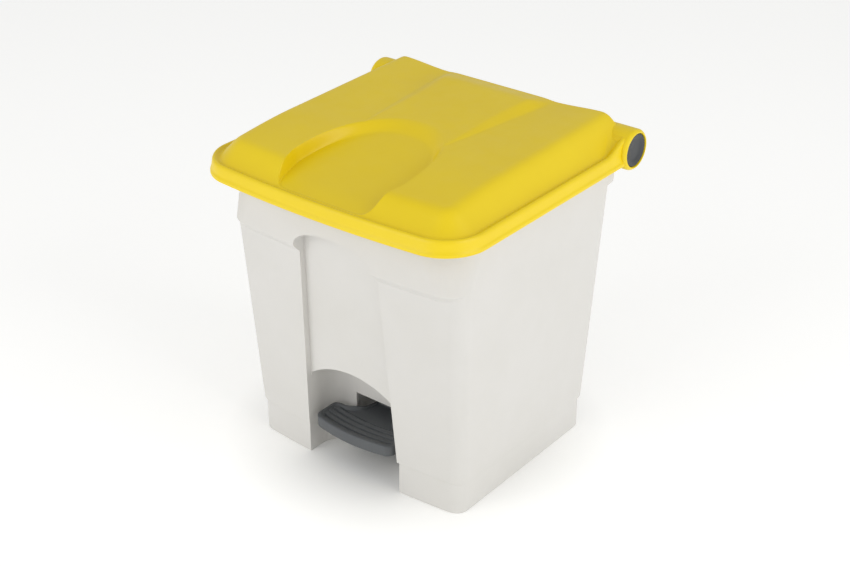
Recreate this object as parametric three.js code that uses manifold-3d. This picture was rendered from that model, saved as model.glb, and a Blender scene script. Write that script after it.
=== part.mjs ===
// Pedal bin of about 30 litres: a one-piece moulded body, a moulded lid that turns on a steel rod at
// the back, and a foot pedal whose lever lifts the lid through a steel push rod in a rear groove.
// Millimetres, +Z up, +X to the right, the pedal side faces -Y. The origin is on the floor under the
// middle of the bin's bounding box.
import * as THREE from 'three';
import { mergeVertices } from 'three/addons/utils/BufferGeometryUtils.js';
import Module from 'manifold-3d';

const wasm = await Module();
wasm.setup();

// ---- driving dimensions ------------------------------------------------------------------------
const WALL = 3;                 // moulded wall thickness
const GAP = 0.35;               // air between pieces that touch on the real bin
const SIDE = 165.8;             // half width of the body walls at the floor
const SIDE_DRAFT = 0.04;        // growth of the half width per millimetre of height
const FRONT = -133.7;           // front of the legs at the floor, on the centre line
const FRONT_DRAFT = -0.074;
const REAR = 147.2;             // rear wall at the floor
const REAR_DRAFT = 0.05;
const BOW = 9;                  // how far the front bulges between its corners
const PLINTH_TOP = 44;
const PLINTH_INSET = 2.3;
const RIM_TOP = 393;            // top of the body under the lid
const COLLAR_BOTTOM = 309;      // where the collar's sloped ledge meets the legs
const COLLAR_LEDGE = 12.5;      // height of that slope
const COLLAR_PROUD = 10.4;      // how far the collar stands out from the legs
const BAND_BOTTOM = 353;        // rear band under the hinge
const BAND_TOP = 372;
const BAND_REAR = 180;
const FLOOR_Z = 92;             // underside of the bin's floor
const RECESS_DEPTH = 9.5;       // front panel behind the legs
const RECESS_HALF = 75;         // half width between the legs at the floor
const RECESS_DRAFT = -0.0457;
const PLINTH_GATE = 74.6;       // half width between the legs in the plinth
const RECESS_SPRING = 323;      // height where the recess arch springs
const RECESS_APEX = 348.5;
const WELL_SPRING = 124;        // foot well arch in the lower edge of the front panel
const WELL_APEX = 147;
const WELL_BACK = -80;
const WELL_CORNER = 30;
const SLOT_HALF = 38;           // slot for the pedal arm in the well's back wall
const SLOT_TOP = 80;
const GROOVE_HALF = 30;         // rear groove that holds the push rod
const GROOVE_FRONT = 124;
const GROOVE_SILL = 26;

const HINGE_Y = 173.4;          // lid hinge axis
const HINGE_Z = 401.7;
const BARREL_R = 26.5;
const BARREL_END = 205;
const BARREL_START = 120;
const BARREL_WALL = 4.6;
const CAP_SEAT = 5.5;           // depth of the cap's seat in the barrel's end
const HINGE_ROD_R = 5;
const KNUCKLE_IN = 92;
const KNUCKLE_OUT = 117;
const KNUCKLE_R = 13;
const BUSH_R = 8;

const LIP_Z = 386.9;            // lower edge of the lid
const LIP_SIDE = 202.1;
const LIP_FRONT = -199.9;
const LIP_BOW = 12.5;
const LIP_CORNER = 51.5;
const LID_REAR = 176;
const CROWN_BASE = 403;
const CROWN_SIDE = 190.5;
const CROWN_FRONT = -188.5;
const TOP_FRONT = 428;          // top of the crown at its front and at its rear
const TOP_REAR = 439.5;
const PANEL_REAR = 446;         // raised centre panel at its rear edge

const PIVOT_Y = -10;            // pedal lever pivot
const PIVOT_Z = 62;
const AXLE_R = 4;
const ROD_Y = 145;              // push rod
const ROD_R = 3;
const ROD_X = -2.5;
const ROD_TRAVEL = 45.4;
const ROD_LOW = PIVOT_Z - ROD_TRAVEL / 2;
const ROD_HIGH = HINGE_Z - ROD_TRAVEL / 2;

// ---- materials ---------------------------------------------------------------------------------
const plastic = (color, roughness) => new THREE.MeshStandardMaterial({ color, roughness, metalness: 0 });
const steel = (color, roughness) => new THREE.MeshStandardMaterial({ color, roughness, metalness: 1 });
const white = () => plastic('#e6e4dd', 0.5);
const yellow = () => plastic('#e0cc14', 0.45);
const grey = () => plastic('#4b4f52', 0.55);
const zinc = () => steel('#b9bcc0', 0.35);

// ---- solids ------------------------------------------------------------------------------------
// A closed geometry as a manifold solid.
function solid(geometry) {
  const bare = geometry.index ? geometry.toNonIndexed() : geometry.clone();
  bare.deleteAttribute('normal');
  bare.deleteAttribute('uv');
  const merged = mergeVertices(bare, 1e-4);
  return new wasm.Manifold(new wasm.Mesh({
    numProp: 3,
    vertProperties: new Float32Array(merged.attributes.position.array),
    triVerts: new Uint32Array(merged.index.array),
  }));
}

// A manifold solid as a named mesh.
function piece(name, body, material) {
  const mesh = body.getMesh();
  const geometry = new THREE.BufferGeometry();
  geometry.setAttribute('position', new THREE.BufferAttribute(mesh.vertProperties, 3));
  geometry.setIndex(new THREE.BufferAttribute(mesh.triVerts, 1));
  geometry.computeVertexNormals();
  const out = new THREE.Mesh(geometry, material);
  out.name = name;
  return out;
}

const union = (...bodies) => bodies.reduce((sum, body) => sum.add(body));
const less = (first, ...bodies) => bodies.reduce((rest, body) => rest.subtract(body), first);

// A box between two corners.
function block(x0, x1, y0, y1, z0, z1) {
  const geometry = new THREE.BoxGeometry(x1 - x0, y1 - y0, z1 - z0);
  geometry.translate((x0 + x1) / 2, (y0 + y1) / 2, (z0 + z1) / 2);
  return solid(geometry);
}

// A round bar along X.
function barX(x0, x1, y, z, radius, sides) {
  const geometry = new THREE.CylinderGeometry(radius, radius, x1 - x0, sides);
  geometry.rotateZ(-Math.PI / 2);
  geometry.translate((x0 + x1) / 2, y, z);
  return solid(geometry);
}

// A round bar along Z.
function barZ(x, y, z0, z1, radius, sides) {
  const geometry = new THREE.CylinderGeometry(radius, radius, z1 - z0, sides);
  geometry.rotateX(Math.PI / 2);
  geometry.translate(x, y, (z0 + z1) / 2);
  return solid(geometry);
}

// A plan outline: straight sides and rear, a front edge bowed out by `bow`, and round corners.
function planOutline(side, front, rear, bow, frontRadius, rearRadius) {
  const cornerY = front + bow;
  const shape = new THREE.Shape();
  shape.moveTo(-side, rear - rearRadius);
  shape.lineTo(-side, cornerY + frontRadius);
  shape.quadraticCurveTo(-side, cornerY, -side + frontRadius, cornerY - bow * 0.35);
  shape.quadraticCurveTo(0, front - bow * 0.65, side - frontRadius, cornerY - bow * 0.35);
  shape.quadraticCurveTo(side, cornerY, side, cornerY + frontRadius);
  shape.lineTo(side, rear - rearRadius);
  shape.quadraticCurveTo(side, rear, side - rearRadius, rear);
  shape.lineTo(-side + rearRadius, rear);
  shape.quadraticCurveTo(-side, rear, -side, rear - rearRadius);
  return shape;
}

// A plan outline carried up through levels [{z, side, front, rear}], as a drafted moulding is.
// `lift` may then move each level's points up by an amount that depends on where they are.
function drafted(levels, bow, frontRadius, rearRadius, segments, lift) {
  const base = levels[0];
  const shape = planOutline(base.side, base.front, base.rear, bow, frontRadius, rearRadius);
  const steps = levels.length - 1;
  const geometry = new THREE.ExtrudeGeometry(shape, {
    depth: steps, steps, bevelEnabled: false, curveSegments: segments,
  });
  const position = geometry.attributes.position;
  for (let i = 0; i < position.count; i += 1) {
    const level = levels[Math.round(position.getZ(i))];
    const along = (position.getY(i) - base.front) / (base.rear - base.front);
    const x = position.getX(i) * level.side / base.side;
    const y = level.front + along * (level.rear - level.front);
    const z = level.z + (lift ? lift(x, y, level.z) : 0);
    position.setXYZ(i, x, y, z);
  }
  return solid(geometry);
}

// An outline drawn in X and Z, extruded along Y from y0 to y1 and leant back with `lean`.
function prismY(shape, y0, y1, lean, segments) {
  const geometry = new THREE.ExtrudeGeometry(shape, {
    depth: y1 - y0, bevelEnabled: false, curveSegments: segments,
  });
  geometry.rotateX(Math.PI / 2);
  geometry.translate(0, y1, 0);
  const position = geometry.attributes.position;
  for (let i = 0; i < position.count; i += 1) {
    position.setY(i, position.getY(i) + lean * position.getZ(i));
  }
  return solid(geometry);
}

// An outline drawn in Y and Z, extruded along X from x0 to x1.
function prismX(shape, x0, x1, segments) {
  const geometry = new THREE.ExtrudeGeometry(shape, {
    depth: x1 - x0, bevelEnabled: false, curveSegments: segments,
  });
  geometry.rotateZ(Math.PI / 2);
  geometry.rotateY(Math.PI / 2);
  geometry.translate(x0, 0, 0);
  return solid(geometry);
}

// The levels of the body's walls between two heights, moved in by `inset`.
function wallLevels(z0, z1, inset, proud = 0) {
  return [z0, z1].map((z) => ({
    z,
    side: SIDE + SIDE_DRAFT * z - inset,
    front: FRONT + FRONT_DRAFT * z + inset - proud,
    rear: REAR + REAR_DRAFT * z - inset,
  }));
}

// ---- body ----------------------------------------------------------------------------------------
const LEG_CORNER = 19;
const REAR_CORNER = 20;
const COLLAR_CORNER = 52;

// The space between the legs under the collar's arch, grown by `grow` on every side.
function recess(grow) {
  const half = (z) => RECESS_HALF + RECESS_DRAFT * z + grow;
  const gate = PLINTH_GATE + grow;
  const shape = new THREE.Shape();
  shape.moveTo(-gate, -2);
  shape.lineTo(gate, -2);
  shape.lineTo(gate, PLINTH_TOP);
  shape.lineTo(half(PLINTH_TOP), PLINTH_TOP + 1.5);
  shape.lineTo(half(RECESS_SPRING), RECESS_SPRING);
  const top = RECESS_APEX + grow;
  shape.bezierCurveTo(half(RECESS_SPRING), top - 5, half(RECESS_SPRING) * 0.55, top, 0, top);
  shape.bezierCurveTo(-half(RECESS_SPRING) * 0.55, top, -half(RECESS_SPRING), top - 5,
    -half(RECESS_SPRING), RECESS_SPRING);
  shape.lineTo(-half(PLINTH_TOP), PLINTH_TOP + 1.5);
  shape.lineTo(-gate, PLINTH_TOP);
  shape.lineTo(-gate, -2);
  return prismY(shape, FRONT - 60, FRONT + RECESS_DEPTH + grow, FRONT_DRAFT, 8);
}

// The foot well behind the recess: round inner corners and an arched ceiling.
function footWell(grow) {
  const half = (z) => RECESS_HALF + RECESS_DRAFT * z + grow;
  const gate = PLINTH_GATE + grow;
  const plan = drafted([
    { z: -2, side: gate, front: FRONT - 60, rear: WELL_BACK + grow },
    { z: PLINTH_TOP, side: gate, front: FRONT - 60, rear: WELL_BACK - 1 + grow },
    { z: PLINTH_TOP + 1.5, side: half(PLINTH_TOP), front: FRONT - 60, rear: WELL_BACK - 1 + grow },
    { z: WELL_APEX + 20, side: half(WELL_APEX + 20), front: FRONT - 60, rear: WELL_BACK - 4 + grow },
  ], 0.1, 1, WELL_CORNER + grow, 8);
  const arch = new THREE.Shape();
  arch.moveTo(-half(-3) - 5, -3);
  arch.lineTo(half(-3) + 5, -3);
  arch.lineTo(half(WELL_SPRING) + 5, WELL_SPRING - 2 + grow);
  arch.quadraticCurveTo(0, 2 * WELL_APEX - WELL_SPRING + 2 + grow, -half(WELL_SPRING) - 5,
    WELL_SPRING - 2 + grow);
  return plan.intersect(prismY(arch, FRONT - 70, 0, 0, 12));
}

// The rear groove for the push rod: open behind below the band, a duct behind it.
function groove(grow) {
  const open = block(-GROOVE_HALF - grow, GROOVE_HALF + grow, GROOVE_FRONT - grow, BAND_REAR + 20,
    GROOVE_SILL, BAND_BOTTOM);
  const duct = block(-GROOVE_HALF - grow, GROOVE_HALF + grow, GROOVE_FRONT - grow, 162.5,
    BAND_BOTTOM - 1, RIM_TOP + 10);
  return open.add(duct);
}

// One hinge knuckle: a round boss on a neck that grows out of the rear band.
function knuckle(x0, x1) {
  const neck = new THREE.Shape();
  neck.moveTo(152, 358);
  neck.lineTo(BAND_REAR - 1, 358);
  neck.lineTo(HINGE_Y + KNUCKLE_R, HINGE_Z);
  neck.lineTo(HINGE_Y - KNUCKLE_R, HINGE_Z);
  neck.lineTo(152, RIM_TOP - 8);
  return union(prismX(neck, x0, x1, 1), barX(x0, x1, HINGE_Y, HINGE_Z, KNUCKLE_R, 28));
}

const SCREW_X = 41;             // pedal bearing screws
const SCREW_OFFSET = 17;
const BOSS_BOTTOM = 83.3;

function makeBody() {
  const collarAt = (z, inset) => ({
    z,
    side: SIDE + SIDE_DRAFT * z - inset,
    front: FRONT + FRONT_DRAFT * z - COLLAR_PROUD + inset,
    rear: REAR + REAR_DRAFT * z - inset,
  });
  const walls = drafted(wallLevels(PLINTH_TOP, RIM_TOP, 0), BOW, LEG_CORNER, REAR_CORNER, 8);
  const plinth = drafted([
    { z: 0, side: SIDE - 0.8, front: FRONT - 0.9, rear: REAR - 0.5 },
    { z: PLINTH_TOP + 2, side: SIDE - 0.8, front: FRONT - 0.9, rear: REAR - 0.5 },
  ], BOW, LEG_CORNER, REAR_CORNER, 8);
  const collar = drafted([
    collarAt(COLLAR_BOTTOM - 2, COLLAR_PROUD + 2),
    collarAt(COLLAR_BOTTOM + COLLAR_LEDGE - 3, 2.6),
    collarAt(COLLAR_BOTTOM + COLLAR_LEDGE, 0.7),
    collarAt(COLLAR_BOTTOM + COLLAR_LEDGE + 3, 0),
    collarAt(RIM_TOP, 0),
  ], BOW, COLLAR_CORNER, REAR_CORNER, 10);
  const band = drafted([
    { z: BAND_BOTTOM, side: SIDE + SIDE_DRAFT * BAND_BOTTOM, front: 100, rear: BAND_REAR - 3 },
    { z: BAND_BOTTOM + 3, side: SIDE + SIDE_DRAFT * BAND_BOTTOM, front: 100, rear: BAND_REAR },
    { z: BAND_TOP, side: SIDE + SIDE_DRAFT * BAND_TOP, front: 100, rear: BAND_REAR },
  ], 0.1, 1, REAR_CORNER, 8);
  const outside = union(walls, plinth, collar, band, knuckle(KNUCKLE_IN, KNUCKLE_OUT),
    knuckle(-KNUCKLE_OUT, -KNUCKLE_IN));

  const room = drafted(wallLevels(FLOOR_Z + WALL, RIM_TOP + 10, WALL), BOW, LEG_CORNER, REAR_CORNER, 8);
  const collarRoom = drafted([
    collarAt(COLLAR_BOTTOM + 3, COLLAR_PROUD + WALL),
    collarAt(COLLAR_BOTTOM + COLLAR_LEDGE + 3, WALL),
    collarAt(RIM_TOP + 10, WALL),
  ], BOW, COLLAR_CORNER, REAR_CORNER, 10);
  const bucket = less(union(room, collarRoom), recess(WALL), footWell(WALL), groove(WALL));
  const under = less(drafted(wallLevels(-2, FLOOR_Z, WALL + PLINTH_INSET), BOW, LEG_CORNER - 2,
    REAR_CORNER - 2, 8), footWell(WALL), recess(WALL));

  const saddle = (x0, x1) => barX(x0, x1, HINGE_Y, HINGE_Z, BARREL_R + 2.5, 36);
  const slot = block(-SLOT_HALF, SLOT_HALF, WELL_BACK - 12, WELL_BACK + 12, -2, SLOT_TOP);
  let body = less(outside, bucket, under, recess(0), footWell(0), groove(0), slot,
    saddle(KNUCKLE_OUT, 260), saddle(-260, -KNUCKLE_OUT),
    barX(-150, 150, HINGE_Y, HINGE_Z, BUSH_R + GAP, 28));

  for (const x of [-SCREW_X, SCREW_X]) {
    for (const y of [PIVOT_Y - SCREW_OFFSET, PIVOT_Y + SCREW_OFFSET]) {
      body = body.add(barZ(x, y, BOSS_BOTTOM, FLOOR_Z + 1, 5, 16));
      body = body.subtract(barZ(x, y, BOSS_BOTTOM - 1, FLOOR_Z, 2.1, 12));
    }
  }
  return body;
}

// ---- lid -----------------------------------------------------------------------------------------
// How far the crown's top rises from front to rear, for a point of the level at height z.
function crownLift(inset) {
  return (x, y, z) => {
    const along = THREE.MathUtils.clamp((y + 165) / 130, 0, 1);
    const rise = (TOP_REAR - TOP_FRONT) * Math.sin(along * Math.PI / 2);
    const share = THREE.MathUtils.clamp((z - CROWN_BASE) / (TOP_FRONT - inset - CROWN_BASE), 0, 1);
    return rise * share;
  };
}

function crown(inset, bottom) {
  const levels = [
    { z: bottom, side: CROWN_SIDE, front: CROWN_FRONT, rear: LID_REAR },
    { z: CROWN_BASE + 6, side: CROWN_SIDE - 3, front: CROWN_FRONT + 3, rear: LID_REAR },
    { z: TOP_FRONT - 5, side: CROWN_SIDE - 19, front: CROWN_FRONT + 19, rear: LID_REAR - 2 },
    { z: TOP_FRONT - 1, side: CROWN_SIDE - 26, front: CROWN_FRONT + 26, rear: LID_REAR - 4 },
    { z: TOP_FRONT, side: CROWN_SIDE - 33, front: CROWN_FRONT + 33, rear: LID_REAR - 7 },
  ].map((level, i) => ({
    z: i === 0 ? level.z : level.z - inset,
    side: level.side - inset,
    front: level.front + inset,
    rear: level.rear - inset,
  }));
  return drafted(levels, LIP_BOW, LIP_CORNER - 12, 12, 8, crownLift(inset));
}

// The thumb recess in the front of the crown: a U open to the front, steep at its sides and soft
// behind, where the top of the wall lies further back than its foot.
const SCOOP_HALF = 79;
const SCOOP_WIDEST = -135;      // station of the widest point
const SCOOP_FOOT = 116;         // reach of the floor behind that station
const SCOOP_SHOULDER = 142;     // reach of the wall's top
const SCOOP_FLOOR = 408;        // floor height at its front, and its slope
const SCOOP_SLOPE = 0.14;

function scoop(grow) {
  const half = SCOOP_HALF + grow;
  const foot = SCOOP_FOOT + grow;
  const front = SCOOP_WIDEST - 50;
  const shape = new THREE.Shape();
  shape.moveTo(-half, front - 30);
  shape.lineTo(half, front - 30);
  shape.lineTo(half, SCOOP_WIDEST);
  shape.bezierCurveTo(half, SCOOP_WIDEST + foot * 0.62, half * 0.58, SCOOP_WIDEST + foot, 0, SCOOP_WIDEST + foot);
  shape.bezierCurveTo(-half * 0.58, SCOOP_WIDEST + foot, -half, SCOOP_WIDEST + foot * 0.62, -half, SCOOP_WIDEST);
  shape.lineTo(-half, front - 30);
  const geometry = new THREE.ExtrudeGeometry(shape, {
    depth: 1, steps: 1, bevelEnabled: false, curveSegments: 14,
  });
  const position = geometry.attributes.position;
  const stretch = (SCOOP_SHOULDER + grow) / foot;
  for (let i = 0; i < position.count; i += 1) {
    const top = position.getZ(i) > 0.5;
    const x = position.getX(i) * (top ? 1.05 : 1);
    const behind = Math.max(position.getY(i) - SCOOP_WIDEST, 0);
    const y = top ? position.getY(i) + behind * (stretch - 1) : position.getY(i);
    const floorZ = SCOOP_FLOOR + SCOOP_SLOPE * (y + 175) - grow;
    position.setXYZ(i, x, y, top ? TOP_REAR + 2 : floorZ);
  }
  return solid(geometry);
}

// The raised centre panel behind the thumb recess: a wedge that widens and rises to the rear, with
// soft flanks.
const PANEL_FRONT = -38;
const PANEL_FOOT = [60, 87];    // half width of its foot at the front and at the rear
const PANEL_TOP = [57, 62];     // half width of its top
const CROWN_ROLL = 8;           // the crown's rear edge rolls down over this

function centrePanel(inset) {
  const rear = LID_REAR - CROWN_ROLL - inset;
  const front = PANEL_FRONT + 3 * inset;
  const shape = new THREE.Shape();
  shape.moveTo(-1, front);
  shape.lineTo(1, front);
  shape.lineTo(1, rear);
  shape.lineTo(-1, rear);
  const geometry = new THREE.ExtrudeGeometry(shape, { depth: 1, steps: 1, bevelEnabled: false });
  const position = geometry.attributes.position;
  for (let i = 0; i < position.count; i += 1) {
    const top = position.getZ(i) > 0.5;
    const behind = position.getY(i) > 0;
    const half = (top ? PANEL_TOP : PANEL_FOOT)[behind ? 1 : 0] - inset;
    const rise = behind ? PANEL_REAR - TOP_REAR : -0.6;
    position.setX(i, position.getX(i) * half);
    position.setZ(i, top ? TOP_REAR + rise - inset : TOP_REAR - 4 - inset);
  }
  return solid(geometry);
}

// One hinge barrel: a tube with an inner end wall, a hub for the rod and three ribs.
function barrel(sign) {
  const far = BARREL_END;
  const near = BARREL_START;
  const along = (a, b) => (sign > 0 ? [a, b] : [-b, -a]);
  const bar = (a, b, radius, sides) => {
    const [x0, x1] = along(a, b);
    return barX(x0, x1, HINGE_Y, HINGE_Z, radius, sides);
  };
  const rounded = union(bar(near, far - 2, BARREL_R, 36), bar(far - 3, far, BARREL_R - 1.2, 36));
  let tube = less(rounded, bar(near + 4, far + 5, BARREL_R - BARREL_WALL, 36));
  tube = tube.add(bar(near, far - 12, HINGE_ROD_R + 4, 24));
  for (let rib = 0; rib < 3; rib += 1) {
    const [x0, x1] = along(near + 1, far - 12);
    const geometry = new THREE.BoxGeometry(x1 - x0, 2.4, BARREL_R - 8);
    geometry.translate(0, 0, (BARREL_R - 8) / 2 + 6.5);
    geometry.rotateX(rib * 2 * Math.PI / 3);
    geometry.translate((x0 + x1) / 2, HINGE_Y, HINGE_Z);
    tube = tube.add(solid(geometry));
  }
  return tube;
}

function makeLid() {
  const band = drafted([
    { z: LIP_Z, side: LIP_SIDE, front: LIP_FRONT, rear: LID_REAR },
    { z: LIP_Z + 4, side: LIP_SIDE, front: LIP_FRONT, rear: LID_REAR },
    { z: LIP_Z + 6, side: LIP_SIDE - 1.8, front: LIP_FRONT + 1.8, rear: LID_REAR },
    { z: 403.5, side: LIP_SIDE - 3, front: LIP_FRONT + 3, rear: LID_REAR },
    { z: 406.5, side: LIP_SIDE - 6, front: LIP_FRONT + 6, rear: LID_REAR },
  ], LIP_BOW, LIP_CORNER, 4, 8);
  const bandRoom = drafted([
    { z: LIP_Z - 3, side: LIP_SIDE - WALL - 1, front: LIP_FRONT + WALL + 1, rear: LID_REAR - WALL },
    { z: CROWN_BASE, side: LIP_SIDE - WALL - 3, front: LIP_FRONT + WALL + 3, rear: LID_REAR - WALL },
  ], LIP_BOW, LIP_CORNER - WALL, 4, 8);
  const shellOut = less(union(band, crown(0, 400)), scoop(0)).add(centrePanel(0));
  const room = less(union(bandRoom, crown(WALL, 398)), scoop(WALL)).add(centrePanel(WALL));
  const barrels = union(barrel(1), barrel(-1));
  const barrelRoom = union(
    barX(BARREL_START + 4, 260, HINGE_Y, HINGE_Z, BARREL_R - BARREL_WALL, 36),
    barX(-260, -BARREL_START - 4, HINGE_Y, HINGE_Z, BARREL_R - BARREL_WALL, 36));
  const hingeGap = union(
    barX(-BARREL_START, BARREL_START, HINGE_Y, HINGE_Z, KNUCKLE_R + 3.2, 32),
    block(-BARREL_START, BARREL_START, HINGE_Y, HINGE_Y + 40, 360, HINGE_Z),
    block(-BARREL_START, BARREL_START, 140, HINGE_Y, 360, RIM_TOP + 3));
  let lid = less(shellOut, room, barrelRoom, hingeGap).add(barrels);

  // the crank lug under the crown, with the slot that the push rod's hook works in
  const lug = new THREE.Shape();
  lug.moveTo(118, TOP_REAR + 6);
  lug.lineTo(157, TOP_REAR + 6);
  lug.lineTo(157, 392);
  lug.lineTo(152, 371.5);
  lug.lineTo(143, 369);
  lug.lineTo(134.5, 374);
  lug.lineTo(133, 384);
  lug.lineTo(118, 400);
  const crank = -40 * Math.PI / 180;
  const slotGeometry = new THREE.BoxGeometry(20, 17, 8.8);
  slotGeometry.translate(0, -32.4, 0);
  slotGeometry.rotateX(-crank);
  slotGeometry.translate(8.5, HINGE_Y, HINGE_Z);
  const plate = prismX(lug, 6, 11, 1);
  const inside = union(shellOut, block(0, 20, 100, 160, 360, 410));
  lid = lid.add(less(plate.intersect(inside), solid(slotGeometry)));
  const bore = barX(-260, 260, HINGE_Y, HINGE_Z, HINGE_ROD_R + GAP, 24);
  return lid.subtract(bore);
}

// ---- pedal ---------------------------------------------------------------------------------------
const TREAD_TOP = 64;
const TREAD_SKIRT = 15;
const TREAD_HALF = 63;
const ARM_HALF = 23;

// The tread's plan: a bowed front edge, round corners and shoulders that narrow to the arm.
function treadOutline(inset) {
  const half = TREAD_HALF - inset;
  const shape = new THREE.Shape();
  shape.moveTo(-ARM_HALF + inset, -60);
  shape.quadraticCurveTo(-ARM_HALF - 3 + inset, -87 - inset, -half + 15, -93.5 - inset);
  shape.quadraticCurveTo(-half + 1, -93 - inset, -half, -100 - inset);
  shape.lineTo(-half, -129 + inset);
  shape.quadraticCurveTo(-half + 2.5, -134.5 + inset, -half + 8, -137.5 + inset);
  shape.quadraticCurveTo(0, -151 + inset, half - 8, -137.5 + inset);
  shape.quadraticCurveTo(half - 2.5, -134.5 + inset, half, -129 + inset);
  shape.lineTo(half, -100 - inset);
  shape.quadraticCurveTo(half - 1, -93 - inset, half - 15, -93.5 - inset);
  shape.quadraticCurveTo(ARM_HALF + 3 - inset, -87 - inset, ARM_HALF - inset, -60);
  return shape;
}

function makePedal() {
  const plate = (inset, z0, z1) => {
    const geometry = new THREE.ExtrudeGeometry(treadOutline(inset), {
      depth: z1 - z0, bevelEnabled: false, curveSegments: 10,
    });
    geometry.translate(0, 0, z0);
    return solid(geometry);
  };
  const bottom = TREAD_TOP - TREAD_SKIRT;
  const tread = less(plate(0, bottom, TREAD_TOP), plate(WALL, bottom - 1, TREAD_TOP - WALL - 3),
    plate(4.5, TREAD_TOP - 2.2, TREAD_TOP + 1));
  const arm = new THREE.Shape();
  arm.moveTo(-66, bottom + 2);
  arm.lineTo(-66, 60);
  arm.lineTo(-40, 62);
  arm.lineTo(-22, 70);
  arm.lineTo(2, 70);
  arm.lineTo(16, 64);
  arm.lineTo(40, 61);
  arm.lineTo(40, 50);
  arm.lineTo(4, 52);
  arm.lineTo(-24, 54);
  arm.lineTo(-40, bottom + 2);
  const rearBeam = new THREE.Shape();
  rearBeam.moveTo(20, 52);
  rearBeam.lineTo(20, 63);
  rearBeam.lineTo(138, 47);
  rearBeam.lineTo(138, 32);
  rearBeam.lineTo(120, 34);
  const eye = new THREE.Shape();
  eye.moveTo(125, 34);
  eye.lineTo(125, 48);
  eye.lineTo(153.5, 47);
  eye.lineTo(153.5, 31.6);
  eye.lineTo(138, 31.6);
  const pocket = block(-ARM_HALF + WALL, ARM_HALF - WALL, -58, -26, 40, 57);
  return less(
    union(tread, prismX(arm, -ARM_HALF, ARM_HALF, 1), prismX(rearBeam, 4, 14, 1),
      prismX(rearBeam, -14, -4, 1), prismX(eye, 6, 12, 1), block(-14, 14, 20, 34, 53, 60)),
    pocket,
    block(-4, 4, 44, 170, 20, 80),
    barX(-40, 40, PIVOT_Y, PIVOT_Z, AXLE_R + GAP, 24),
    block(-14.5, 5.99, 126, 170, 20, 80),
    block(12.01, 14.5, 126, 170, 20, 80),
    block(0, 20, ROD_Y - 5.2, ROD_Y + 5.2, ROD_LOW - 3.6, ROD_LOW + 3.6));
}

// ---- small pieces --------------------------------------------------------------------------------
function makeBearing(sign) {
  const x0 = sign > 0 ? 33 : -47;
  const x1 = sign > 0 ? 47 : -33;
  const side = new THREE.Shape();
  side.moveTo(PIVOT_Y - 24, BOSS_BOTTOM - GAP);
  side.lineTo(PIVOT_Y - 24, BOSS_BOTTOM - 4.5);
  side.lineTo(PIVOT_Y - 12, BOSS_BOTTOM - 5);
  side.lineTo(PIVOT_Y - 10, PIVOT_Z);
  side.lineTo(PIVOT_Y + 10, PIVOT_Z);
  side.lineTo(PIVOT_Y + 12, BOSS_BOTTOM - 5);
  side.lineTo(PIVOT_Y + 24, BOSS_BOTTOM - 4.5);
  side.lineTo(PIVOT_Y + 24, BOSS_BOTTOM - GAP);
  let bearing = union(prismX(side, x0, x1, 1), barX(x0, x1, PIVOT_Y, PIVOT_Z, 10, 28));
  bearing = bearing.subtract(barX(x0 - 1, x1 + 1, PIVOT_Y, PIVOT_Z, AXLE_R + GAP, 24));
  for (const offset of [-SCREW_OFFSET, SCREW_OFFSET]) {
    bearing = bearing.subtract(barZ(sign * SCREW_X, PIVOT_Y + offset, 70, 90, 2.4, 12));
  }
  return bearing;
}

// A pan-head screw pointing up, its head under the bearing's flange.
function makeScrew(x, y) {
  const seat = BOSS_BOTTOM - 5.4;
  const profile = [[0, -3], [2.6, -2.6], [4, -1.2], [4, 0], [1.8, 0], [1.8, 12], [0, 13]];
  const geometry = new THREE.LatheGeometry(profile.map(([r, z]) => new THREE.Vector2(r, z)), 16);
  geometry.rotateX(Math.PI / 2);
  geometry.translate(x, y, seat);
  return solid(geometry);
}

// A push-on washer for the end of a bar along X.
function makeClip(x, y, z, inner, outer, thickness) {
  return less(barX(x, x + thickness, y, z, outer, 24), barX(x - 1, x + thickness + 1, y, z, inner, 16));
}

// The push rod: an upright bar whose ends are bent to the right, into the lever's eye and the lid's lug.
function makePushRod() {
  const reach = 17;
  const bend = 7;
  const section = new THREE.Shape();
  section.absarc(0, 0, ROD_R, 0, 2 * Math.PI);
  const elbow = (z, turn) => {
    const at = (x, dz) => new THREE.Vector3(x, ROD_Y, z + dz);
    const path = new THREE.QuadraticBezierCurve3(at(ROD_X, turn * bend), at(ROD_X, 0), at(ROD_X + bend, 0));
    return solid(new THREE.ExtrudeGeometry(section, {
      extrudePath: path, steps: 6, bevelEnabled: false, curveSegments: 8,
    }));
  };
  const lap = 0.2;
  return union(
    barZ(ROD_X, ROD_Y, ROD_LOW + bend - lap, ROD_HIGH - bend + lap, ROD_R, 16),
    elbow(ROD_LOW, 1), elbow(ROD_HIGH, -1),
    barX(ROD_X + bend - lap, reach, ROD_Y, ROD_LOW, ROD_R, 16),
    barX(ROD_X + bend - lap, reach, ROD_Y, ROD_HIGH, ROD_R, 16));
}

// A guide block held in the groove, with the hole that the push rod slides through.
function makeGuide(z) {
  const rear = REAR + REAR_DRAFT * z;
  const half = GROOVE_HALF - GAP;
  const body = union(
    block(-half, half, rear - 6, rear - 1, z - 9, z + 9),
    block(-14, 9, ROD_Y - 8, rear - 5, z - 9, z + 9));
  return body.subtract(barZ(ROD_X, ROD_Y, z - 12, z + 12, ROD_R + GAP, 20));
}

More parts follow.
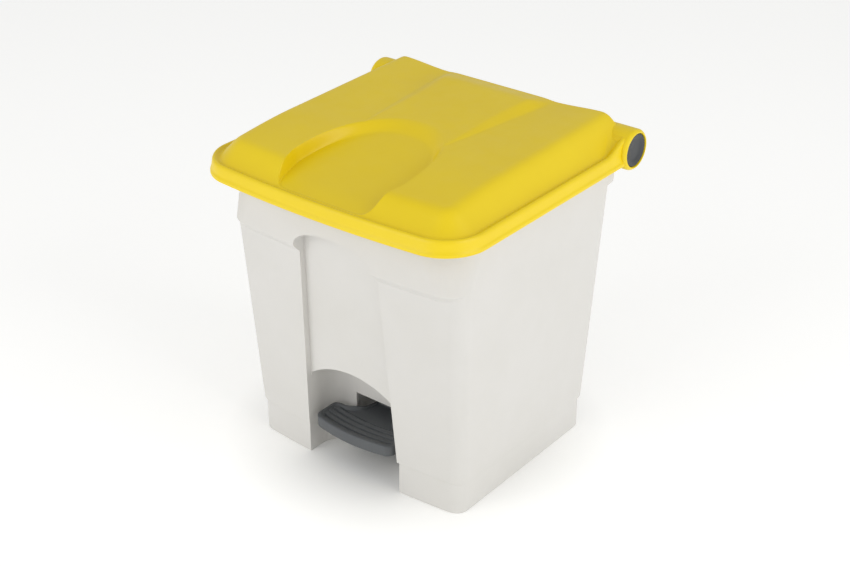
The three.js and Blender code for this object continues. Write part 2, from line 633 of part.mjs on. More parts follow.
// A disc with a shallow dish and a spigot, pushed into a barrel's end.
function makeCap(sign) {
  const r = BARREL_R - BARREL_WALL - GAP;
  const profile = [
    [0, 0], [r - 3, 0], [r - 3, -5], [r - 0.6, -5], [r, 0], [r, 3.6], [20.5, 4.4], [16, 3.6], [9, 2.2], [0, 2.2],
  ];
  const geometry = new THREE.LatheGeometry(profile.map(([a, b]) => new THREE.Vector2(a, b)), 32);
  geometry.rotateZ(-sign * Math.PI / 2);
  geometry.translate(sign * (BARREL_END - CAP_SEAT), HINGE_Y, HINGE_Z);
  return solid(geometry);
}

// A flanged sleeve between a knuckle and the hinge rod.
function makeBush(sign) {
  const inner = HINGE_ROD_R + GAP;
  const start = KNUCKLE_IN + 1;
  const sleeve = KNUCKLE_OUT + GAP - start;
  const end = sleeve + 1.6;
  const profile = [[inner, 0], [BUSH_R, 0], [BUSH_R, sleeve], [11, sleeve], [11, end], [inner, end], [inner, 0]];
  const geometry = new THREE.LatheGeometry(profile.map(([a, b]) => new THREE.Vector2(a, b)), 20);
  geometry.rotateZ(-sign * Math.PI / 2);
  geometry.translate(sign * start, HINGE_Y, HINGE_Z);
  return solid(geometry);
}

// ---- assembly ------------------------------------------------------------------------------------
const bin = new THREE.Group();
bin.add(piece('body_shell', makeBody(), white()));
bin.add(piece('lid_shell', makeLid(), yellow()));
bin.add(piece('pedal', makePedal(), grey()));
bin.add(piece('pedal_axle', barX(-52, 52, PIVOT_Y, PIVOT_Z, AXLE_R, 24), zinc()));
bin.add(piece('push_rod', makePushRod(), zinc()));
bin.add(piece('hinge_rod', barX(-191, 191, HINGE_Y, HINGE_Z, HINGE_ROD_R, 24), zinc()));
bin.add(piece('rod_guide_lower', makeGuide(120), grey()));
bin.add(piece('rod_guide_upper', makeGuide(330), grey()));
for (const [side, sign] of [['left', -1], ['right', 1]]) {
  bin.add(piece(`hinge_cap_${side}`, makeCap(sign), grey()));
  bin.add(piece(`hinge_bush_${side}`, makeBush(sign), grey()));
  bin.add(piece(`pedal_bearing_${side}`, makeBearing(sign), grey()));
  const clipX = sign > 0 ? 48 : -50;
  bin.add(piece(`axle_clip_${side}`, makeClip(clipX, PIVOT_Y, PIVOT_Z, AXLE_R + GAP, 8, 2), zinc()));
  for (const [end, offset] of [['front', -SCREW_OFFSET], ['rear', SCREW_OFFSET]]) {
    const screw = makeScrew(sign * SCREW_X, PIVOT_Y + offset);
    bin.add(piece(`bearing_screw_${side}_${end}`, screw, zinc()));
  }
}
for (const [end, z, x] of [['lower', ROD_LOW, 12.6], ['upper', ROD_HIGH, 11.6]]) {
  bin.add(piece(`rod_clip_${end}`, makeClip(x, ROD_Y, z, ROD_R + GAP, 7, 2), zinc()));
}

export default bin;
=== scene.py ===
"""Pedal bin of about 30 litres, in metres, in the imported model's frame: +X right, the pedal side
faces -Y, +Z up, the origin on the floor. The sections follow the bin as it is put together."""

import math

import bmesh
import bpy
import numpy as np
from mathutils import Matrix


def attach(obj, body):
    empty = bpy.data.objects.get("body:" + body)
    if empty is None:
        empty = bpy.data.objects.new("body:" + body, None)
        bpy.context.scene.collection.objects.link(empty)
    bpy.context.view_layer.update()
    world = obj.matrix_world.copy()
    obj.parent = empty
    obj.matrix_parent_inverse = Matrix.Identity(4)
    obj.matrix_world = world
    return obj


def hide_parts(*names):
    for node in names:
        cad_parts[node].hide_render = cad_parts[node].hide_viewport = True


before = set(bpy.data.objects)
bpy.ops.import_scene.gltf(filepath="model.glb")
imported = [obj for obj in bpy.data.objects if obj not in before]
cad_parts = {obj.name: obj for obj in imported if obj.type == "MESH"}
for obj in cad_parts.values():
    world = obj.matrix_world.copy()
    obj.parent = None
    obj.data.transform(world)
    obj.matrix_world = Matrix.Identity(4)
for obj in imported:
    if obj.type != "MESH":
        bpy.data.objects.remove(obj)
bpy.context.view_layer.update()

MM = 0.001
GAP = 0.35                      # clearance between fitted pieces; sizes of pieces are in millimetres

# ---- camera -------------------------------------------------------------------------------------
# It looks down at the front right corner from about two metres, with a short telephoto lens.
VIEW_TURN = math.radians(37.94)
VIEW_RISE = math.radians(28.47)
VIEW_ROLL = math.radians(0.32)
VIEW_DISTANCE = 2.0458
VIEW_AIM = np.array([0.0, 0.0, 0.215])
VIEW_SLIDE = (0.00817, 0.00358)

back = np.array([
    math.sin(VIEW_TURN) * math.cos(VIEW_RISE),
    -math.cos(VIEW_TURN) * math.cos(VIEW_RISE),
    math.sin(VIEW_RISE)])
right = np.array([math.cos(VIEW_TURN), math.sin(VIEW_TURN), 0.0])
up = np.cross(back, right)
across = math.cos(VIEW_ROLL) * right + math.sin(VIEW_ROLL) * up
upward = math.cos(VIEW_ROLL) * up - math.sin(VIEW_ROLL) * right
place = VIEW_AIM + VIEW_DISTANCE * back + VIEW_SLIDE[0] * across + VIEW_SLIDE[1] * upward
camera_data = bpy.data.cameras.new("studio_camera")
camera_data.sensor_width = 36.0
camera_data.lens = 67.5
camera_data.clip_end = 50.0
camera = bpy.data.objects.new("studio_camera", camera_data)
bpy.context.scene.collection.objects.link(camera)
pose = np.eye(4)
pose[:3, 0] = across
pose[:3, 1] = upward
pose[:3, 2] = back
pose[:3, 3] = place
camera.matrix_world = Matrix(pose.tolist())
bpy.context.scene.camera = camera


# ---- studio: floor and lights -------------------------------------------------------------------
# A wide pale floor that glows faintly except under the bin, white air all round, and two large low
# soft boxes, in front and to the right.
def linear(hexcode):
    """An sRGB hex colour as linear RGBA: each channel through the sRGB transfer curve."""
    rgb = np.array([int(hexcode[i:i + 2], 16) / 255 for i in (1, 3, 5)])
    low = rgb / 12.92
    high = ((rgb + 0.055) / 1.055) ** 2.4
    return (*np.where(rgb <= 0.04045, low, high).tolist(), 1.0)


def node(tree, kind, links=(), **settings):
    """Add a shader node, set its inputs and properties, and link (socket, from_socket) pairs."""
    made = tree.nodes.new(kind)
    for key, value in settings.items():
        if key in made.inputs.keys():
            made.inputs[key].default_value = value
        elif hasattr(made, key):
            setattr(made, key, value)
        else:
            made.inputs[key.replace("_", " ")].default_value = value
    for socket, source in links:
        tree.links.new(source, made.inputs[socket])
    return made


def fresh_material(name):
    """An empty node material: returns it, its tree, its shader and its object coordinates."""
    made = bpy.data.materials.new(name)
    made.use_nodes = True
    tree = made.node_tree
    tree.nodes.clear()
    shader = tree.nodes.new("ShaderNodeBsdfPrincipled")
    output = tree.nodes.new("ShaderNodeOutputMaterial")
    tree.links.new(shader.outputs["BSDF"], output.inputs["Surface"])
    where = tree.nodes.new("ShaderNodeTexCoord").outputs["Object"]
    return made, tree, shader, where


def surface(name, patches, merge=0.00001, caps=()):
    """A mesh object from patches, each a (rows, columns, 3) array of points in metres whose
    neighbours are joined by quads, and caps, each a loop of points closed by one face."""
    verts, faces, start = [], [], 0
    for patch in patches:
        rows, columns = patch.shape[:2]
        index = np.arange(rows * columns).reshape(rows, columns) + start
        quads = np.stack([index[:-1, :-1], index[:-1, 1:], index[1:, 1:], index[1:, :-1]], axis=-1)
        faces += quads.reshape(-1, 4).tolist()
        verts.append(patch.reshape(-1, 3))
        start += rows * columns
    for loop in caps:
        faces.append(list(range(start, start + len(loop))))
        verts.append(loop)
        start += len(loop)
    mesh = bpy.data.meshes.new(name)
    mesh.from_pydata(np.concatenate(verts).tolist(), [], faces)
    work = bmesh.new()
    work.from_mesh(mesh)
    bmesh.ops.remove_doubles(work, verts=work.verts, dist=merge)
    bmesh.ops.dissolve_degenerate(work, edges=work.edges, dist=merge / 2)
    bmesh.ops.recalc_face_normals(work, faces=work.faces)
    work.to_mesh(mesh)
    work.free()
    made = bpy.data.objects.new(name, mesh)
    bpy.context.scene.collection.objects.link(made)
    return made


FLOOR_WHITE = "#f4f4f2"
FLOOR_REACH, FLOOR_LEVEL = 6.0, -0.0002
GLOW_NEAR, GLOW_FAR, GLOW = 0.1, 0.26, 0.3      # no glow nearer than the first, full from the second
AIR_STRENGTH = 0.6

ends = (-FLOOR_REACH, FLOOR_REACH)
corners = np.array([[[x, y, FLOOR_LEVEL] for x in ends] for y in ends])
floor = surface("studio_floor", [corners])
floor_paint, tree, shader, where = fresh_material("painted_floor")
shader.inputs["Base Color"].default_value = linear(FLOOR_WHITE)
shader.inputs["Roughness"].default_value = 0.9
shader.inputs["Emission Color"].default_value = (1.0, 1.0, 1.0, 1.0)
reach = node(tree, "ShaderNodeVectorMath", [(0, where)], operation="LENGTH")
glow = node(tree, "ShaderNodeMapRange", [("Value", reach.outputs["Value"])],
            From_Min=GLOW_NEAR, From_Max=GLOW_FAR, To_Min=0.0, To_Max=GLOW)
tree.links.new(glow.outputs["Result"], shader.inputs["Emission Strength"])
floor.data.materials.append(floor_paint)

world = bpy.data.worlds.new("studio_air")
world.use_nodes = True
world.node_tree.nodes["Background"].inputs["Color"].default_value = (1.0, 1.0, 1.0, 1.0)
world.node_tree.nodes["Background"].inputs["Strength"].default_value = AIR_STRENGTH
bpy.context.scene.world = world
bpy.context.scene.view_settings.view_transform = "Standard"

SOFT_BOXES = (
    # name, distance, turn from the front, rise, width, watts
    ("front_box", 2.4, -16, 22, 1.8, 17),
    ("right_box", 2.4, 92, 22, 1.8, 20),
)
for name, distance, turn, rise, width, watts in SOFT_BOXES:
    light = bpy.data.lights.new(name, "AREA")
    light.shape = "SQUARE"
    light.size = width
    light.energy = watts
    lamp = bpy.data.objects.new(name, light)
    a, b = math.radians(turn), math.radians(rise)
    outward = np.array([math.sin(a) * math.cos(b), -math.cos(a) * math.cos(b), math.sin(b)])
    lamp.location = VIEW_AIM + distance * outward
    lamp.rotation_euler = (math.pi / 2 - b, 0.0, a)
    bpy.context.scene.collection.objects.link(lamp)


# ---- body ---------------------------------------------------------------------------------------
# One injection moulding in white polypropylene: drafted walls, a collar under the lid, two front
# legs with a recessed panel between them, a foot well and a plinth. Its inside is a bucket over a
# hollow skirt, with a groove behind for the push rod and two knuckles for the hinge rod.
WALL = 3.0
SIDE, SIDE_DRAFT = 165.8, 0.04
FRONT, FRONT_DRAFT = -133.7, -0.074
REAR, REAR_DRAFT = 147.2, 0.05
BOW = 9.0
LEG_CORNER, REAR_CORNER = 17.5, 18.0
PLINTH_TOP, PLINTH_STEP = 44.0, 2.3
GATE, GATE_DRAFT, PLINTH_GATE = 75.0, -0.0457, 74.6
RECESS_DEPTH = 9.5
ARCH_SPRING, ARCH_RISE = 323.0, 25.5
WELL_SPRING, WELL_RADIUS, WELL_APEX = 124.0, 112.0, 147.0
WELL_BACK, WELL_CORNER = -80.0, 30.0
LEDGE_LOW, LEDGE_HIGH, COLLAR_PROUD = 309.0, 321.5, 10.4
RIM = 393.0
QUADRANT = 62.0                 # reach of the front corner's polar grid


def smooth_step(x, low, high):
    """A smooth ramp from 0 at low to 1 at high: 3t^2 - 2t^3 of the clamped fraction t."""
    t = np.clip((x - low) / (high - low), 0.0, 1.0)
    return t * t * (3.0 - 2.0 * t)


def round_corner(turn, width, depth, radius):
    """Distance from a quadrant's centre to a rounded rectangle of that width and depth, along the
    direction `turn` measured from straight ahead: to the front line, the side line or the arc."""
    s, c = np.sin(turn), np.cos(turn)
    ahead = depth / np.maximum(c, 1e-9)
    beside = width / np.maximum(s, 1e-9)
    p = s * (width - radius) + c * (depth - radius)
    q = (width - radius) ** 2 + (depth - radius) ** 2 - radius ** 2
    arc = p + np.sqrt(np.maximum(p * p - q, 0.0))
    reach = np.where(ahead * s <= width - radius, ahead, arc)
    return np.where(beside * c <= depth - radius, beside, reach)


def well_half(z, grow):
    """Half width of the foot well: the drafted gate below the arch's spring, the circle above."""
    gate = np.where(z < PLINTH_TOP, PLINTH_GATE, GATE + GATE_DRAFT * z)
    gate = gate + (PLINTH_GATE - gate) * (1.0 - smooth_step(z, PLINTH_TOP, PLINTH_TOP + 1.6)) + grow
    rise = z - (WELL_APEX - WELL_RADIUS)
    arch = np.sqrt(np.maximum((WELL_RADIUS + grow) ** 2 - rise ** 2, 0.0))
    return np.minimum(gate, arch)


def recess_half(z, grow):
    """Half width of the recess between the legs: drafted straight sides, then half an ellipse."""
    gate = GATE + GATE_DRAFT * np.minimum(z, ARCH_SPRING)
    gate = gate + (PLINTH_GATE - gate) * (1.0 - smooth_step(z, PLINTH_TOP, PLINTH_TOP + 1.6)) + grow
    rise = np.clip((z - ARCH_SPRING) / (ARCH_RISE + grow), 0.0, 1.0)
    return gate * np.sqrt(1.0 - rise ** 2)


def body_section(z, inset, grow, groups):
    """Half outlines of the body at the heights z, from the middle of the front to the middle of
    the rear. `inset` moves the outer walls in, and `grow` widens the recess and the foot well."""
    z = np.asarray(z, float)[:, None]
    inset = np.asarray(inset, float).reshape(-1, 1)
    in_plinth = 1.0 - smooth_step(z, PLINTH_TOP, PLINTH_TOP + 2.6)
    settle = PLINTH_STEP * in_plinth
    level = np.maximum(z, PLINTH_TOP)
    side = SIDE + SIDE_DRAFT * level - settle - inset
    rear = REAR + REAR_DRAFT * level - settle - inset
    leg_front = FRONT + FRONT_DRAFT * level + settle + inset
    grown = np.clip((z - LEDGE_LOW) / (LEDGE_HIGH - LEDGE_LOW), 0.0, 1.0)
    held_back = COLLAR_PROUD * (1.0 - np.minimum(grown * 1.08, 1.0) ** 0.92)
    proud = np.where(z > LEDGE_LOW, COLLAR_PROUD - held_back, 0.0)
    collar_corner = 29.0 + 0.6 * np.clip(z - LEDGE_HIGH, 0.0, 46.0)

    def front(x):
        """Front surface over x: the legs' bowed wall with a parabola's bow, and the collar proud
        of it above."""
        return leg_front - proud + BOW * (x / SIDE) ** 2

    def panel(x):
        """Recessed panel over x: it lies behind the legs and bows less than they do."""
        return FRONT + FRONT_DRAFT * z + RECESS_DEPTH + grow + BOW * (x / SIDE) ** 2 * 0.4

    parts = []
    gate = recess_half(z, grow)
    well = np.minimum(well_half(z, grow), gate)
    back = WELL_BACK - 0.02 * z + grow
    corner = np.minimum(WELL_CORNER + grow, well * 0.6)
    if "well" in groups:
        u = np.linspace(0.0, 1.0, 10)[None, :]
        parts.append((u * (well - corner), back + 0 * u))
        turn = np.linspace(0.0, math.pi / 2, 18)[None, 1:]
        parts.append((well - corner + corner * np.sin(turn), back - corner + corner * np.cos(turn)))
        u = np.linspace(0.0, 1.0, 12)[None, 1:]
        start = back - corner
        parts.append((well + 0 * u, start + u * (panel(well) - start)))
    if "recess" in groups:
        u = np.linspace(0.0, 1.0, 18)[None, :]
        x = well * (1 - u) + gate * u if "well" in groups else u * gate
        parts.append((x, panel(x)))
        u = np.linspace(0.0, 1.0, 7)[None, 1:]
        parts.append((gate + 0 * u, panel(gate) + u * (front(gate) - panel(gate))))
    edge = gate if "recess" in groups else 0 * z
    u = (np.linspace(0.0, 1.0, 44)[None, :]) ** 1.6
    x = edge + u * (side - QUADRANT - edge)
    parts.append((x, front(x)))

    turn = np.linspace(0.0, math.pi / 2, 46)[None, 1:]
    centre_x = side - QUADRANT
    centre_y = leg_front + QUADRANT
    legs = round_corner(turn, QUADRANT, QUADRANT, LEG_CORNER - np.minimum(inset, 8.0))
    collar = round_corner(turn, QUADRANT - held_back, QUADRANT + COLLAR_PROUD - held_back,
                          np.maximum(collar_corner - held_back - inset, 6.0))
    reach = np.where(z > LEDGE_LOW, np.maximum(legs, collar), legs)
    reach = np.where(z > LEDGE_HIGH, collar, reach)
    x = centre_x + reach * np.sin(turn)
    flat = centre_y - reach * np.cos(turn)
    fade = np.clip((centre_y - flat) / QUADRANT, 0.0, 1.0)
    parts.append((x, flat + BOW * (x / SIDE) ** 2 * fade))
    u = np.linspace(0.0, 1.0, 26)[None, 1:]
    parts.append((side + 0 * u, centre_y + u * (rear - REAR_CORNER - centre_y)))
    turn = np.linspace(0.0, math.pi / 2, 14)[None, 1:]
    parts.append((side - REAR_CORNER + REAR_CORNER * np.cos(turn),
                  rear - REAR_CORNER + REAR_CORNER * np.sin(turn)))
    u = np.linspace(0.0, 1.0, 20)[None, 1:]
    parts.append(((side - REAR_CORNER) * (1 - u), rear + 0 * u))
    x = np.concatenate([p[0] + 0 * z for p in parts], axis=1)
    y = np.concatenate([p[1] + 0 * z for p in parts], axis=1)
    half = np.stack([x, y, z + 0 * x], axis=-1)
    other = half[:, ::-1] * np.array([-1.0, 1.0, 1.0])
    return np.concatenate([half, other[:, 1:]], axis=1) * MM


def body_solid(name, low, high, inset, grow):
    """A closed solid between two heights: the section's rows, split where the foot well and the
    recess end so that no column is left over, with a face at the bottom and at the top."""
    well_top = WELL_APEX + grow
    arch_top = ARCH_SPRING + ARCH_RISE + grow
    even = np.arange(low, high, 9.0)
    fine = np.concatenate([
        [low, high], low + np.array([0.4, 1.0, 2.0, 3.5, 5.5, 8.0]), high - np.array([0.3, 0.8, 1.6]),
        PLINTH_TOP + np.array([-0.3, 0.0, 0.4, 0.8, 1.2, 1.6, 2.1, 2.6, 3.2]),
        well_top - (well_top - WELL_SPRING) * (1 - np.sin(np.linspace(0.15, math.pi / 2, 16))),
        [WELL_SPRING, ARCH_SPRING], np.linspace(LEDGE_LOW - 0.6, LEDGE_HIGH + 2.0, 18),
        ARCH_SPRING + (ARCH_RISE + grow) * np.sin(np.linspace(0.0, math.pi / 2, 26)),
        arch_top + np.array([0.4, 0.9, 1.5, 2.5])])
    z = np.concatenate([even, fine])
    z = z[(z >= low) & (z <= high)]
    z = np.unique(np.round(z, 3))
    keep = np.concatenate([[True], np.diff(z) > 0.12])
    keep |= np.isin(z, np.round([low, high, well_top, arch_top], 3))
    z = z[keep]
    bands = (
        (z[z <= well_top + 1e-6], ("well", "recess")),
        (z[(z >= well_top - 1e-6) & (z <= arch_top + 1e-6)], ("recess",)),
        (z[z >= arch_top - 1e-6], ()))
    patches = [body_section(rows, inset(rows), grow, groups)
               for rows, groups in bands if len(rows) > 1]
    return surface(name, patches, caps=(patches[0][0][:-1], patches[-1][-1][:-1]))


def cut(target, tools, operation="DIFFERENCE"):
    """Join or cut a solid with others by one boolean, keep the result and drop the tools."""
    group = bpy.data.collections.new("tools")
    for tool in tools:
        group.objects.link(tool)
    step = target.modifiers.new("cut", "BOOLEAN")
    step.operation = operation
    step.solver = "MANIFOLD"
    step.operand_type = "COLLECTION"
    step.collection = group
    bpy.context.view_layer.update()
    done = target.evaluated_get(bpy.context.evaluated_depsgraph_get())
    result = bpy.data.meshes.new_from_object(done)
    target.modifiers.clear()
    target.data = result
    for tool in tools:
        bpy.data.objects.remove(tool)
    bpy.data.collections.remove(group)


def block(x0, x1, y0, y1, z0, z1):
    """A box between two corners in millimetres."""
    low, high = np.array([x0, y0, z0]), np.array([x1, y1, z1])
    ring = np.array([[0, 0], [1, 0], [1, 1], [0, 1], [0, 0]], float)
    rows = np.stack([np.concatenate([ring, np.full((5, 1), level)], axis=1) for level in (0.0, 1.0)])
    rows = (low + rows * (high - low)) * MM
    return surface("block", [rows], caps=(rows[0][:-1], rows[1][:-1]))


def turned(name, profile, along, centre, sides=96):
    """A lathe form about an axis along X or Z: profile points (station, radius) in millimetres,
    each swept round the circle. A profile that ends where it began gives a ring."""
    station, radius = np.array(profile, float).T[:, :, None]
    turn = np.linspace(0.0, 2 * math.pi, sides + 1)[None, :]
    a = centre[0] + radius * np.cos(turn)
    b = centre[1] + radius * np.sin(turn)
    s = station + 0 * turn
    rows = np.stack([s, a, b] if along == "X" else [a, b, s], axis=-1) * MM
    ends = () if profile[0] == profile[-1] else (rows[0][:-1], rows[-1][:-1])
    ends = [loop for loop in ends if np.ptp(loop, axis=0).max() > 1e-7]
    return surface(name, [rows], caps=ends)


def bar_x(x0, x1, y, z, radius, sides=96):
    """A plain round bar along X."""
    return turned("bar", [(x0, radius), (x1, radius)], "X", (y, z), sides)


def bar_z(x, y, z0, z1, radius, sides=32):
    """A plain round bar along Z."""
    return turned("bar", [(z0, radius), (z1, radius)], "Z", (x, y), sides)


def eased(points, radius, steps=4):
    """Round every corner of a closed outline: each corner is cut back by the radius, or by nearly
    half of the shorter side, and bridged by a parabola."""
    points = np.array(points, float)
    before, after = np.roll(points, 1, axis=0) - points, np.roll(points, -1, axis=0) - points
    long = np.minimum(np.linalg.norm(before, axis=1), np.linalg.norm(after, axis=1))
    back = np.minimum(radius, 0.48 * long)[:, None]
    first = points + before / np.linalg.norm(before, axis=1)[:, None] * back
    last = points + after / np.linalg.norm(after, axis=1)[:, None] * back
    t = np.linspace(0.0, 1.0, steps + 1)[None, :, None]
    arc = (1 - t) ** 2 * first[:, None] + 2 * t * (1 - t) * points[:, None] + t ** 2 * last[:, None]
    return arc.reshape(-1, 2)


def prism_x(name, outline, x0, x1, radius=0.8):
    """A plate across X: a closed (y, z) outline in millimetres with rounded corners."""
    ring = eased(outline, radius)
    ring = np.concatenate([ring, ring[:1]])
    rows = np.stack([np.column_stack([0 * ring[:, 0] + x, ring]) for x in (x0, x1)]) * MM
    return surface(name, [rows], caps=(rows[0][:-1], rows[1][:-1]))


def slab(name, outline, z0, z1, radius, ease):
    """A flat block: a closed (x, y) outline with rounded corners, whose top and bottom edges step
    in along a quarter circle, towards the middle of the outline."""
    ring = eased(outline, radius, 8)
    ring = np.concatenate([ring, ring[:1]])
    turn = np.linspace(0.0, math.pi / 2, 5)
    levels = np.concatenate([z0 + ease * (1 - np.sin(turn)[::-1]), z1 - ease * (1 - np.sin(turn))])
    levels = np.sort(levels)
    near = np.minimum(levels - z0, z1 - levels)
    step = ease - np.sqrt(np.maximum(ease ** 2 - (ease - np.minimum(near, ease)) ** 2, 0.0))
    middle = ring.mean(axis=0)
    rows = []
    for level, inward in zip(levels, step):
        reach = np.abs(ring - middle).max(axis=0)
        plan = middle + (ring - middle) * (1 - inward / reach)
        rows.append(np.column_stack([plan, 0 * ring[:, 0] + level]))
    rows = np.stack(rows) * MM
    return surface(name, [rows], caps=(rows[0][:-1], rows[-1][:-1]))


def finish_mesh(piece, material, crease=35):
    """Smooth shading with edges sharper than the crease angle kept, and the piece's material."""
    piece.data.materials.clear()
    piece.data.materials.append(material)
    piece.data.shade_smooth()
    piece.data.set_sharp_from_angle(angle=math.radians(crease))


def rim_ease(z):
    """How far the outside steps in near the rim's top edge, and near the floor edge."""
    top = np.clip(z - (RIM - 1.6), 0.0, 1.6) / 1.6
    bottom = np.clip(1.0 - z, 0.0, 1.0)
    return 1.2 * (1.0 - np.sqrt(1.0 - 0.999 * top ** 2)) + 0.7 * bottom ** 2


def bucket_ease(z):
    """Wall thickness to the bucket, with a 9 mm round where the walls meet the floor."""
    low = np.clip((104.0 - z) / 9.0, 0.0, 1.0)
    return WALL + 9.0 * (1.0 - np.sqrt(1.0 - 0.999 * low ** 2))


BODY_FLOOR = 92.0               # underside of the bucket's floor
HINGE = (173.4, 401.7)          # lid hinge axis, y and z
BAND = (353.0, 372.0, 180.0)    # rear band: bottom, top and rear face
GROOVE_HALF, GROOVE_FRONT, GROOVE_SILL = 30.0, 124.0, 26.0
SLOT_HALF, SLOT_TOP = 38.0, 80.0
KNUCKLE = (92.0, 117.0, 13.0)   # inner end, outer end and radius
BOSS_X, BOSS_Y, BOSS_LOW = 41.0, (-27.0, 7.0), 83.3
BOSS_R, PILOT_R = 5.0, 2.1      # screw boss and its pilot hole
KNUCKLE_BORE = 8.35             # radius, clear of the bush

body = body_solid("white_body", 0.0, RIM, rim_ease, 0.0)
band_half = SIDE + SIDE_DRAFT * BAND[0] - 0.5
neck = [(152, 358), (BAND[2] - 1, 358), (HINGE[0] + KNUCKLE[2] - 0.2, HINGE[1]),
        (HINGE[0] - KNUCKLE[2] + 0.2, HINGE[1]), (152, RIM - 8)]
band_plan = [(-band_half, 100), (band_half, 100), (band_half, BAND[2]), (-band_half, BAND[2])]
added = [slab("rear_band", band_plan, BAND[0], BAND[1], 22.0, 2.5)]
for side in (-1, 1):
    ends = sorted((side * KNUCKLE[0], side * KNUCKLE[1]))
    added.append(prism_x("neck", neck, *ends, 1.5))
    added.append(bar_x(*ends, *HINGE, KNUCKLE[2]))
cut(body, added, "UNION")

room = body_solid("room", BODY_FLOOR + WALL, RIM + 10.0, bucket_ease, WALL)
cut(room, [block(-GROOVE_HALF - WALL, GROOVE_HALF + WALL, GROOVE_FRONT - WALL, 230, 20, RIM + 30)])
under = body_solid("under", -2.0, BODY_FLOOR, lambda z: WALL + 0 * z, WALL)
cut(body, [
    room, under,
    block(-GROOVE_HALF, GROOVE_HALF, GROOVE_FRONT, 230, GROOVE_SILL, BAND[0]),
    block(-GROOVE_HALF, GROOVE_HALF, GROOVE_FRONT, 162.5, BAND[0] - 1, RIM + 10),
    block(-SLOT_HALF, SLOT_HALF, WELL_BACK - 12, WELL_BACK + 12, -3, SLOT_TOP),
    bar_x(KNUCKLE[1], 260, *HINGE, 29.0), bar_x(-260, -KNUCKLE[1], *HINGE, 29.0),
    bar_x(-150, 150, *HINGE, KNUCKLE_BORE)])
bosses = [(x, y) for x in (-BOSS_X, BOSS_X) for y in BOSS_Y]
cut(body, [bar_z(x, y, BOSS_LOW, BODY_FLOOR + 1, BOSS_R) for x, y in bosses], "UNION")
cut(body, [bar_z(x, y, BOSS_LOW - 1, BODY_FLOOR, PILOT_R) for x, y in bosses])


def moulded(name, colour, shade, grain, roughness, relief, sheen=0.0):
    """Injection-moulded polypropylene: a self-coloured plastic with faint flow mottling, the fine
    spark-eroded grain of the mould, slow sink waves, and gloss that wanders with handling."""
    made, tree, shader, where = fresh_material(name)
    mottle = node(tree, "ShaderNodeTexNoise", [("Vector", where)], Scale=9.0, Detail=4.0, Roughness=0.6)
    tint = node(tree, "ShaderNodeMapRange", [("Value", mottle.outputs["Fac"])],
                From_Min=0.35, From_Max=0.7, To_Min=0.0, To_Max=1.0)
    paint = node(tree, "ShaderNodeMix", [(0, tint.outputs["Result"])], data_type="RGBA")
    paint.inputs[6].default_value = linear(colour)
    paint.inputs[7].default_value = linear(shade)
    tree.links.new(paint.outputs[2], shader.inputs["Base Color"])
    handling = node(tree, "ShaderNodeTexNoise", [("Vector", where)], Scale=34.0, Detail=6.0, Roughness=0.7)
    gloss = node(tree, "ShaderNodeMapRange", [("Value", handling.outputs["Fac"])],
                 From_Min=0.3, From_Max=0.75, To_Min=roughness[0], To_Max=roughness[1])
    tree.links.new(gloss.outputs["Result"], shader.inputs["Roughness"])
    pits = node(tree, "ShaderNodeTexVoronoi", [("Vector", where)], Scale=1000.0 / grain)
    fine = node(tree, "ShaderNodeBump", [("Height", pits.outputs["Distance"])],
                Strength=relief, Distance=0.0002)
    waves = node(tree, "ShaderNodeTexNoise", [("Vector", where)], Scale=14.0, Detail=1.0)
    sink = node(tree, "ShaderNodeBump",
                [("Height", waves.outputs["Fac"]), ("Normal", fine.outputs["Normal"])],
                Strength=0.05, Distance=0.004)
    tree.links.new(sink.outputs["Normal"], shader.inputs["Normal"])
    shader.inputs["IOR"].default_value = 1.49
    shader.inputs["Sheen Weight"].default_value = sheen
    return made


# Warm white polypropylene, matt from a spark-eroded mould.
white_moulding = moulded("white_moulding", "#d6d4d0", "#d3d1cc", 0.7, (0.42, 0.55), 0.12)
finish_mesh(body, white_moulding)
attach(body, "bin")
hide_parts("body_shell")


# ---- lid ----------------------------------------------------------------------------------------
# One moulding in signal yellow polypropylene: a beaded lip and band, a groove, and a crown with
# soft bevels, a thumb scoop at the front and a centre panel that rises to the rear. Two barrels at
# the rear take the hinge rod, and a lug under the crown takes the push rod.
LIP_HALF, LIP_FRONT, LIP_BOW, LIP_CORNER = 202.1, -199.9, 12.5, 51.5
LID_REAR, LID_REAR_CORNER = 176.0, 12.0
GROOVE_IN, GROOVE_Z = 12.0, 404.5       # groove between band and crown: inset from the lip, height
CROWN_FRONT_Z, CROWN_REAR_Z = 428.0, 438.4
PANEL_Z = 445.9                         # rear edge of the centre panel
PANEL_FRONT = -38.0                     # where the panel starts to rise
PANEL_FOOT, PANEL_SPREAD = 60.0, 24.0   # half width at its front, and how much it widens
BEVEL, REAR_ROLL = 36.0, 7.0
SCOOP_Y = -135.0                        # widest station of the thumb scoop
SCOOP_IN = (79.0, 116.0)                # floor: half width and reach to the rear
SCOOP_OUT = (83.0, 142.0)               # top of its wall
SCOOP_POWER = 2.25
SCOOP_FLOOR, SCOOP_SLOPE = 408.0, 0.14
BARREL_R, BARREL_WALL, BARREL_IN, BARREL_OUT = 26.5, 4.6, 120.0, 205.0
HINGE_BORE = 5.0 + GAP                  # radius, round the hinge bar
LID_WALL = 3.0
